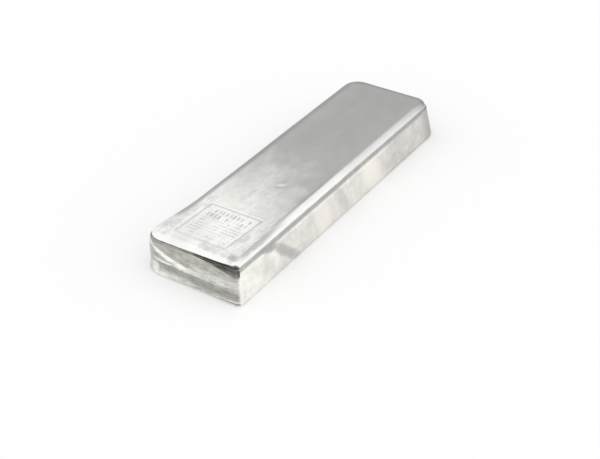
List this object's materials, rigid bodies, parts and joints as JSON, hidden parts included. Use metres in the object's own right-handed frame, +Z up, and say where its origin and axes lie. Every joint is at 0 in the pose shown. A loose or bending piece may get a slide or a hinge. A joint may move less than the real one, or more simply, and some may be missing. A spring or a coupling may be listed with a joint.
{
  "type": "indium ingot",
  "caption": "Cast bar of soft white metal with leaning walls, rounded plan corners, a rounded shoulder above a crease, and a square stamp line on its top face.",
  "frame": {"origin": "middle of the bottom face, on the floor", "axes": "+X along the bar, away from the stamped end; +Y across it; +Z up, out of the stamped face"},
  "size_m": [0.1694, 0.0504, 0.0176],
  "materials": {
    "indium": "bare cast indium, bright and smooth, frosted white round the stamp"
  },
  "bodies": {
    "root": {"ingot": "indium"}
  },
  "joints": []
}
